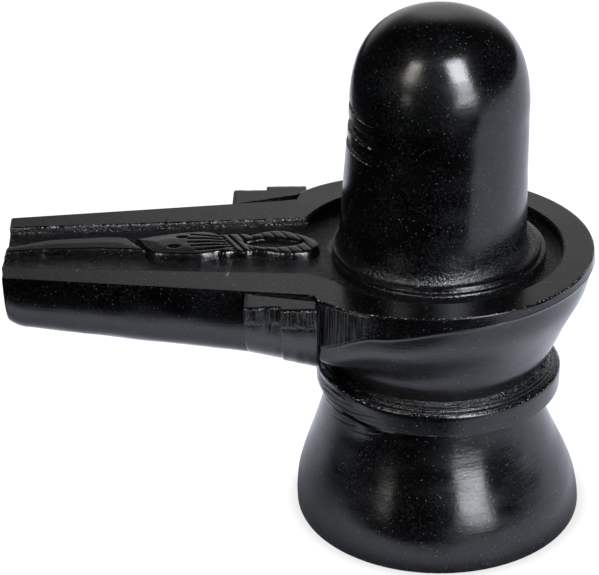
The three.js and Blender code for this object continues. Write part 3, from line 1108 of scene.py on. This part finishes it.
class NodeBench:
    """Adds nodes to a tree and joins them."""

    def __init__(self, tree: bpy.types.NodeTree) -> None:
        """Clears a tree to work on it."""
        self.tree = tree
        tree.nodes.clear()

    def add(self, kind: str, inputs: dict | None = None, **settings: object) -> bpy.types.Node:
        """Adds a node.

        Args:
            kind: The node's type, without its ShaderNode prefix.
            inputs: Values or sockets for its inputs, by name or index.
            settings: Its properties.

        Returns:
            The node.
        """
        node = self.tree.nodes.new(kind if kind.startswith("Node") else "ShaderNode" + kind)
        for name, value in settings.items():
            setattr(node, name, value)
        for name, value in (inputs or {}).items():
            self.feed(node.inputs[name], value)
        return node

    def feed(self, socket: bpy.types.NodeSocket, value: object) -> None:
        """Sets an input, or links it to another node's output."""
        if isinstance(value, bpy.types.NodeSocket):
            self.tree.links.new(value, socket)
        else:
            socket.default_value = value

    def math(self, operation: str, *values: object) -> bpy.types.NodeSocket:
        """A sum on numbers."""
        return self.add("Math", dict(enumerate(values)), operation=operation).outputs[0]

    def mix(self, share: object, low: object, high: object) -> bpy.types.NodeSocket:
        """A colour between two others."""
        return self.add("Mix", {0: share, 6: low, 7: high}, data_type="RGBA").outputs[2]

    def ramp(self, value: object, low: object, high: object, start: object = 0.0, stop: object = 1.0):
        """A smooth rise of a number between low and high, from start to stop."""
        inputs = {0: value, 1: low, 2: high, 3: start, 4: stop}
        return self.add("MapRange", inputs, interpolation_type="SMOOTHSTEP").outputs[0]

    def noise(self, place: object, scale: object, detail: float = 2.0) -> bpy.types.NodeSocket:
        """A soft noise over a place."""
        return self.add("TexNoise", {"Vector": place, "Scale": scale, "Detail": detail}).outputs[0]

    def mask(self, name: str) -> bpy.types.NodeSocket:
        """A mask that the mesh carries."""
        return self.add("Attribute", attribute_name=name).outputs["Fac"]

    def bump(self, height: object, depth: float, **under: object) -> bpy.types.NodeSocket:
        """The normal of a face with a height, over the one given as Normal."""
        return self.add("Bump", {"Height": height, "Distance": depth, "Strength": 1.0, **under}).outputs[0]

    def to_camera(self, hidden: object, seen: object) -> tuple[bpy.types.NodeSocket, bpy.types.NodeSocket]:
        """Whether a ray is the camera's own, and the number it meets: seen if so, hidden if not."""
        own = self.add("LightPath").outputs["Is Camera Ray"]
        return own, self.add("Mix", {0: own, 2: hidden, 3: seen}, data_type="FLOAT").outputs[0]

    def scaled(self, place: object, scale: Triple) -> bpy.types.NodeSocket:
        """A place stretched along its axes."""
        return self.add("Mapping", {"Vector": place, "Scale": scale}).outputs[0]


class Effect(Enum):
    """The effects that the stone's finishes share, by the names of their node groups."""

    GRAIN = "stone grain"
    PECKING = "peck marks"
    POLISH = "polish lines"
    STROKES = "chisel strokes"


class Effects:
    """Builds the node groups of the shared effects, with places in metres."""

    CLOUDS = (70.0, 0.35)
    FINE = (1500.0, 0.65)
    MOTTLE = (0.46, 0.7)
    SPECK_SCALE = 3400.0
    SPECK_EDGE = (0.1, 0.4)
    PIT_SCALE = 1.3
    PIT_SHARE = 0.35
    UPRIGHT = ((1900, 1900, 90), 1.5)
    RIDGES = (0.65, 0.95)
    TURNED = ((26, 26, 1500), 0.75)
    RIPPLES = ((170, 170, 700), 0.8)
    DRAWN = ((40, 1300, 1300), 0.4)
    RUBBED_PITS = (1250.0, 0.95)
    SMEARS = ((60, 60, 140), (0.3, 0.7))
    STROKE_RADIUS = 0.034
    STROKE_SLANT = -0.12
    STROKE_MARKS = ((60, 900, 1), (0.44, 0.56))

    @staticmethod
    def group(effect: Effect, inputs: dict[str, tuple[str, object]], outputs: dict[str, str]):
        """An empty node group with named sockets.

        Args:
            effect: Which effect it is.
            inputs: Socket kinds and values by name.
            outputs: Socket kinds by name.

        Returns:
            Its bench, its inputs' node and its outputs' node.
        """
        tree = bpy.data.node_groups.new(effect.value, "ShaderNodeTree")
        for name, (kind, value) in inputs.items():
            socket = tree.interface.new_socket(name, in_out="INPUT", socket_type="NodeSocket" + kind)
            if value is not None:
                socket.default_value = value
        for name, kind in outputs.items():
            tree.interface.new_socket(name, in_out="OUTPUT", socket_type="NodeSocket" + kind)
        bench = NodeBench(tree)
        return bench, bench.add("NodeGroupInput"), bench.add("NodeGroupOutput")

    @classmethod
    def grain(cls) -> None:
        """Mottled near-black stone with sparse pale specks."""
        inputs = {name: ("Color", (0, 0, 0, 1)) for name in ("Dark", "Light", "Speck")}
        inputs |= {"Place": ("Vector", None), "Speckling": ("Float", 0.1)}
        bench, given, out = cls.group(Effect.GRAIN, inputs, {"Color": "Color", "Specks": "Float"})
        place = given.outputs["Place"]
        waves = (cls.CLOUDS, cls.FINE)
        parts = [bench.math("MULTIPLY", bench.noise(place, scale, 4.0), share) for scale, share in waves]
        mottle = bench.math("ADD", *parts)
        stone = bench.mix(bench.ramp(mottle, *cls.MOTTLE), given.outputs["Dark"], given.outputs["Light"])
        cells = bench.add("TexVoronoi", {"Vector": place, "Scale": cls.SPECK_SCALE})
        chance = bench.add("SeparateColor", {0: cells.outputs["Color"]}).outputs[0]
        rare = bench.math("LESS_THAN", chance, given.outputs["Speckling"])
        dot = bench.ramp(cells.outputs["Distance"], *cls.SPECK_EDGE, 1.0, 0.0)
        specks = bench.math("MULTIPLY", rare, dot)
        bench.feed(out.inputs["Color"], bench.mix(specks, stone, given.outputs["Speck"]))
        bench.feed(out.inputs["Specks"], specks)

    @classmethod
    def pecking(cls) -> None:
        """Pits and ridges of a pointed chisel."""
        inputs = {"Place": ("Vector", None), "Scale": ("Float", 900.0), "Chased": ("Float", 0.0)}
        bench, given, out = cls.group(Effect.PECKING, inputs, {"Height": "Float", "Ridges": "Float"})
        place, scale = given.outputs["Place"], given.outputs["Scale"]
        cells = bench.math("MULTIPLY", scale, cls.PIT_SCALE)
        cells = bench.add("TexVoronoi", {"Vector": place, "Scale": cells})
        grit = bench.noise(place, scale, 3.0)
        stretch, share = cls.UPRIGHT
        upright = bench.math("MULTIPLY", bench.noise(bench.scaled(place, stretch), 1.0), share)
        pits = bench.math("MULTIPLY_ADD", cells.outputs["Distance"], cls.PIT_SHARE, grit)
        marks = bench.ramp(given.outputs["Chased"], 0.0, 1.0, pits, upright)
        bench.feed(out.inputs["Height"], marks)
        bench.feed(out.inputs["Ridges"], bench.ramp(marks, *cls.RIDGES))

    @classmethod
    def polish(cls) -> None:
        """Fine level lines left by polishing as the stone was turned."""
        inputs = {"Place": ("Vector", None)}
        bench, given, out = cls.group(Effect.POLISH, inputs, {"Height": "Float", "Smears": "Float"})
        place = given.outputs["Place"]
        stretch, share = cls.TURNED
        height = bench.math("MULTIPLY", bench.noise(bench.scaled(place, stretch), 1.0, 3.0), share)
        for stretch, share in (cls.RIPPLES, cls.DRAWN):
            lines = bench.noise(bench.scaled(place, stretch), 1.0)
            height = bench.math("MULTIPLY_ADD", lines, share, height)
        scale, share = cls.RUBBED_PITS
        height = bench.math("MULTIPLY_ADD", bench.noise(place, scale), share, height)
        bench.feed(out.inputs["Height"], height)
        stretch, limits = cls.SMEARS
        smears = bench.noise(bench.scaled(place, stretch), 1.0, 4.0)
        bench.feed(out.inputs["Smears"], bench.ramp(smears, *limits))

    @classmethod
    def strokes(cls) -> None:
        """Long slanting strokes of a flat chisel round the axis."""
        bench, given, out = cls.group(Effect.STROKES, {"Place": ("Vector", None)}, {"Height": "Float"})
        x, y, z = bench.add("SeparateXYZ", {0: given.outputs["Place"]}).outputs
        round_axis = bench.math("MULTIPLY", bench.math("ARCTAN2", y, x), cls.STROKE_RADIUS)
        slanted = bench.math("MULTIPLY_ADD", round_axis, cls.STROKE_SLANT, z)
        flat = bench.add("CombineXYZ", {0: round_axis, 1: slanted}).outputs[0]
        stretch, limits = cls.STROKE_MARKS
        marks = bench.noise(bench.scaled(flat, stretch), 1.0, 1.0)
        bench.feed(out.inputs["Height"], bench.ramp(marks, *limits))


@dataclass(frozen=True)
class StoneFinish:
    """How a face of the stone looks."""

    skin: Skin
    dark: Colour = (0.0005, 0.0005, 0.0006, 1)
    light: Colour = (0.0085, 0.0088, 0.01, 1)
    speck: Colour = (0.26, 0.26, 0.26, 1)
    bruised: Colour = (0.007, 0.0073, 0.008, 1)
    pale: Colour = (0.3, 0.3, 0.31, 1)
    # Pale tone of the chased streaks: partly scratch tone, and partly painted light caught by the hatch
    # marks
    scratch_tone_and_glint: Colour = (0.03, 0.03, 0.0315, 1)
    speckling: float = 0.018
    gloss: Pair = (0.17, 0.26)
    matt: float = 0.26
    peck_scale: float = 1900.0
    peck_depth: float = 0.0003
    score_depth: float = 0.0003
    polish_depth: float = 0.00002
    patch_scale: float = 1200.0
    chip_scale: float = 2000.0
    ior: float = 1.52

    def use(self, bench: NodeBench, effect: Effect, inputs: dict) -> bpy.types.Node:
        """Places a shared effect in the material."""
        node = bench.add("Group", node_tree=bpy.data.node_groups[effect.value])
        for name, value in inputs.items():
            bench.feed(node.inputs[name], value)
        return node

    def material(self) -> bpy.types.Material:
        """Builds the finish as a material named for its skin."""
        made = bpy.data.materials.new(self.skin.name.lower())
        made.use_nodes = True
        bench = NodeBench(made.node_tree)
        place = bench.add("TexCoord").outputs["Object"]
        rough = bench.mask("pecked")
        edge = bench.mask("worn")
        tones = {"Dark": self.dark, "Light": self.light, "Speck": self.speck}
        grain = self.use(bench, Effect.GRAIN, {"Place": place, "Speckling": self.speckling, **tones})
        cut = bench.mask("chased")
        peck = self.use(bench, Effect.PECKING, {"Place": place, "Scale": self.peck_scale, "Chased": cut})
        polish = self.use(bench, Effect.POLISH, {"Place": place})
        patchy = bench.noise(place, self.patch_scale, 3.0)
        pecked = bench.ramp(bench.math("ADD", rough, bench.math("MULTIPLY", patchy, 0.6)), 0.42, 1.0)
        chipped = bench.noise(place, self.chip_scale)
        worn = bench.ramp(bench.math("MULTIPLY_ADD", chipped, 1.4, edge), 1.25, 1.42)
        bruise = bench.math("MULTIPLY", pecked, bench.math("ADD", 0.25, peck.outputs["Ridges"]))
        tone = bench.mix(bruise, grain.outputs["Color"], self.bruised)
        # Pale streaks on the chased ridges: partly scratch tone, and partly painted light caught by the
        # hatch marks
        tone = bench.mix(bench.math("MULTIPLY", cut, peck.outputs["Ridges"]), tone, self.scratch_tone_and_glint)
        # Pale tone where the worn mask is strong: chipped wear on most edges, and a painted highlight and
        # painted glints on the shaft's groove edges and the channel's walls
        tone = bench.mix(worn, tone, self.pale)
        gloss = bench.ramp(polish.outputs["Smears"], 0.0, 1.0, *self.gloss)
        spread = bench.math("SUBTRACT", self.matt, gloss)
        roughness = bench.math("MULTIPLY_ADD", pecked, spread, gloss)
        smooth = bench.math("SUBTRACT", 1.0, pecked)
        rubbed = bench.math("MULTIPLY", polish.outputs["Height"], smooth)
        lines = bench.bump(rubbed, self.polish_depth)
        scored = bench.mask("scored")
        strokes = self.use(bench, Effect.STROKES, {"Place": place})
        strokes = bench.math("MULTIPLY", strokes.outputs["Height"], scored)
        scores = bench.bump(strokes, self.score_depth, Normal=lines)
        pits = bench.math("MULTIPLY", peck.outputs["Height"], pecked)
        pits = bench.bump(pits, self.peck_depth, Normal=scores)
        look = {"Base Color": tone, "Roughness": roughness, "IOR": self.ior, "Normal": pits}
        shader = bench.add("BsdfPrincipled", look)
        bench.add("OutputMaterial", {0: shader.outputs[0]})
        return made


POLISHED_STONE = StoneFinish(Skin.POLISHED)
TOOLED_STONE = StoneFinish(Skin.TOOLED, speckling=0.025)
CARVED_STONE = StoneFinish(Skin.CARVED, speckling=0.02)


@dataclass
class LingamStone:
    """The whole carved stone, fused from its blocks."""

    pedestal: Pedestal = field(default_factory=Pedestal)
    moat: Moat = field(default_factory=Moat)
    spout: Spout = field(default_factory=Spout)
    channel: Channel = field(default_factory=Channel)
    snake: Snake = field(default_factory=Snake)
    shaft: Shaft = field(default_factory=Shaft)
    crease: float = math.radians(38)
    carved_crease: float = math.radians(72)
    sliver: float = 1e-3

    def build(self) -> bpy.types.Object:
        """Fuses the blocks into one mesh in metres.

        Returns:
            The stone, at the origin.
        """
        stone = self.pedestal.build()
        fuse(stone, self.spout.hull(), Joint.ADD)
        for bank in Bank:
            for lug in self.spout.lugs(bank):
                fuse(stone, lug, Joint.ADD)
            fuse(stone, self.spout.slot(bank), Joint.CUT)
        fuse(stone, self.moat.build(), Joint.CUT)
        fuse(stone, self.channel.build(), Joint.CUT)
        fuse(stone, self.snake.build(), Joint.ADD)
        fuse(stone, self.shaft.plinth(), Joint.ADD)
        fuse(stone, self.shaft.build(), Joint.ADD)
        self.tidy(stone)
        stone.name = "carved_stone"
        return stone

    def tidy(self, stone: bpy.types.Object) -> None:
        """Cleans the fused mesh, takes it to metres and keeps its crisp edges."""
        bm = bmesh.new()
        bm.from_mesh(stone.data)
        bmesh.ops.dissolve_degenerate(bm, dist=self.sliver, edges=bm.edges[:])
        close(bm)
        bmesh.ops.scale(bm, vec=(MM, MM, MM), verts=bm.verts[:])
        bmesh.ops.triangulate(bm, faces=[f for f in bm.faces if len(f.verts) > 4])
        for face in bm.faces:
            face.smooth = True
        for edge in bm.edges:
            carved = all(face.material_index == Skin.CARVED.value for face in edge.link_faces)
            limit = self.carved_crease if carved else self.crease
            edge.smooth = edge.calc_face_angle(0) < limit
        bm.to_mesh(stone.data)
        bm.free()

    def dress(self, stone: bpy.types.Object) -> None:
        """Lets the stone ride on the frame in place of its plain solid."""
        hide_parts("lingam_stone")
        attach(stone, "root")


@dataclass
class Softbox:
    """A soft studio light that points at the stone."""

    name: str
    azimuth: float
    elevation: float
    size: Pair
    power: float
    colour: Triple
    distance: float = 1.2

    def build(self, aim: Vector) -> bpy.types.Object:
        """Hangs the light, its azimuth counted to the right from the camera's side."""
        light = bpy.data.lights.new(self.name, "AREA")
        light.shape = "RECTANGLE"
        light.size, light.size_y = self.size
        light.energy = self.power
        light.color = self.colour
        turn, rise = math.radians(self.azimuth), math.radians(self.elevation)
        level = math.cos(rise) * self.distance
        made = bpy.data.objects.new(self.name, light)
        height = math.sin(rise) * self.distance
        made.location = aim + Vector((math.sin(turn) * level, -math.cos(turn) * level, height))
        made.rotation_euler = (aim - made.location).to_track_quat("-Z", "Y").to_euler()
        bpy.context.scene.collection.objects.link(made)
        return made


@dataclass
class Studio:
    """The table, the softboxes, the wall behind and the camera."""

    eye: Triple = (-0.01604, -0.5343, 0.35484)
    pitch: float = math.radians(28.2)
    yaw: float = math.radians(2.4)
    roll: float = math.radians(-1.57)
    focal_px: float = 2188.0
    sensor: float = 36.0
    table_front: float = -0.6
    table_reach: float = 2.2
    table_tint: Colour = (0.85, 0.89, 1.02, 1)
    table_strength: float = 1.2
    shade_reach: Pair = (0.038, 0.058)
    shade_depth: float = 0.2
    contact_reach: Pair = (0.039, 0.046)
    contact_depth: float = 0.78
    table_edge: float = -0.079
    table_slants: Pair = (0.72, 0.12)
    table_fade: float = 0.017
    spout_sides: Pair = (0.005, 0.06)
    spout_span: Pair = (-0.055, -0.01)
    spout_shade: float = 0.4
    far_left: Pair = (-0.2, -0.165)
    far_left_glow: float = 0.02
    paper_white: float = 1.1
    wall_span: Pair = (0.72, 0.97)
    wall_glow: float = 0.8
    wall_left: Pair = (-0.2, -0.03)
    wall_left_rise: Pair = (0.2, 0.4)
    wall_left_glow: float = 0.35
    room_glow: float = 0.009
    aim: Triple = (0, 0, 0.08)
    lights: tuple[Softbox, ...] = (
        Softbox("right softbox", 28, 42, (0.42, 0.68), 17.5, COOL),
        Softbox("right low softbox", 31, 19.5, (0.4, 0.36), 5.0, COOL),
        Softbox("right strip", 32, 5.8, (0.5, 0.1), 2.7, COOL),
        Softbox("left softbox", -44, 37, (0.3, 0.64), 4.6, WARM),
        Softbox("left strip", -43, 5.8, (0.22, 0.11), 0.28, WARM),
    )

    def table(self) -> bpy.types.Object:
        """A table that is white to the camera but for the foot's contact shade.

        To the stone it is a pale sheet, lit behind a bent front edge and dim below the foot and the spout.

        Returns:
            The table.
        """
        bm = bmesh.new()
        bmesh.ops.create_grid(bm, x_segments=1, y_segments=1, size=self.table_reach)
        bmesh.ops.translate(bm, verts=bm.verts[:], vec=(0, self.table_reach + self.table_front, 0))
        mesh = bpy.data.meshes.new("table")
        bm.to_mesh(mesh)
        bm.free()
        paper = bpy.data.materials.new("table_paper")
        paper.use_nodes = True
        bench = NodeBench(paper.node_tree)
        place = bench.add("TexCoord").outputs["Object"]
        x, y, _ = bench.add("SeparateXYZ", {0: place}).outputs
        off = bench.add("VectorMath", {0: place}, operation="LENGTH").outputs["Value"]
        by_foot = bench.ramp(off, *self.shade_reach, self.shade_depth, 1.0)
        aside = bench.math("ABSOLUTE", y)
        by_spout = bench.ramp(aside, *self.spout_sides, self.spout_shade, 1.0)
        by_spout = bench.ramp(x, *self.spout_span, by_spout, 1.0)
        slants = [bench.math("MULTIPLY", x, slant) for slant in self.table_slants]
        inwards = bench.math("ADD", y, bench.math("MAXIMUM", *slants))
        ends = (self.table_edge - self.table_fade, self.table_edge + self.table_fade)
        lit = bench.ramp(inwards, *ends, 0.0, self.table_strength)
        far_left = bench.ramp(x, *self.far_left, self.far_left_glow, 1.0)
        for share in (by_foot, by_spout, far_left):
            lit = bench.math("MULTIPLY", lit, share)
        contact = bench.ramp(off, *self.contact_reach, self.contact_depth, self.paper_white)
        seen, glow = bench.to_camera(lit, contact)
        tint = bench.mix(seen, self.table_tint, WHITE)
        shader = bench.add("Emission", {"Color": tint, "Strength": glow})
        bench.add("OutputMaterial", {0: shader.outputs[0]})
        mesh.materials.append(paper)
        made = bpy.data.objects.new("table", mesh)
        bpy.context.scene.collection.objects.link(made)
        return made

    def surroundings(self) -> None:
        """A bright wall behind the stone, dimmer on its upper left, and a dim room; white to the camera."""
        world = bpy.data.worlds.new("studio")
        world.use_nodes = True
        bench = NodeBench(world.node_tree)
        direction = bench.add("TexCoord").outputs["Generated"]
        aside, behind, above = bench.add("SeparateXYZ", {0: direction}).outputs
        left = bench.ramp(aside, *self.wall_left, self.wall_left_glow, 1.0)
        left = bench.ramp(above, *self.wall_left_rise, 1.0, left)
        bright = bench.math("MULTIPLY", left, self.wall_glow)
        wall = bench.ramp(behind, *self.wall_span, self.room_glow, bright)
        glow = bench.to_camera(wall, self.paper_white)[1]
        sky = bench.add("Background", {"Color": WHITE, "Strength": glow})
        bench.add("OutputWorld", {0: sky.outputs[0]})
        bpy.context.scene.world = world

    def camera(self) -> bpy.types.Object:
        """The camera at the photograph's place."""
        data = bpy.data.cameras.new("camera")
        data.sensor_width = self.sensor
        data.sensor_fit = "HORIZONTAL"
        data.lens = self.sensor * self.focal_px / IMAGE_WIDTH
        level = Vector((math.cos(self.yaw), math.sin(self.yaw), 0))
        reach = math.cos(self.pitch)
        ahead = Vector((-math.sin(self.yaw) * reach, math.cos(self.yaw) * reach, -math.sin(self.pitch)))
        upright = level.cross(ahead)
        right = level * math.cos(self.roll) + upright * math.sin(self.roll)
        top = upright * math.cos(self.roll) - level * math.sin(self.roll)
        made = bpy.data.objects.new("camera", data)
        turn = Matrix((right, top, -ahead)).transposed()
        made.matrix_world = Matrix.Translation(self.eye) @ turn.to_4x4()
        bpy.context.scene.collection.objects.link(made)
        bpy.context.scene.camera = made
        return made

    def build(self) -> None:
        """Sets up the table, the lights, the surroundings and the camera."""
        self.table()
        self.surroundings()
        for softbox in self.lights:
            softbox.build(Vector(self.aim))
        self.camera()
        bpy.context.scene.view_settings.view_transform = "Standard"


def main() -> None:
    """Builds the stone and the studio round it."""
    logging.basicConfig(level=logging.INFO, format="%(name)s: %(message)s")
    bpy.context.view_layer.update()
    for effect in (Effects.grain, Effects.pecking, Effects.polish, Effects.strokes):
        effect()
    for finish in (POLISHED_STONE, TOOLED_STONE, CARVED_STONE):
        finish.material()
    assembly = LingamStone()
    stone = assembly.build()
    assembly.dress(stone)
    log.info("%s: %d faces", stone.name, len(stone.data.polygons))
    Studio().build()


if __name__ == "__main__":
    main()
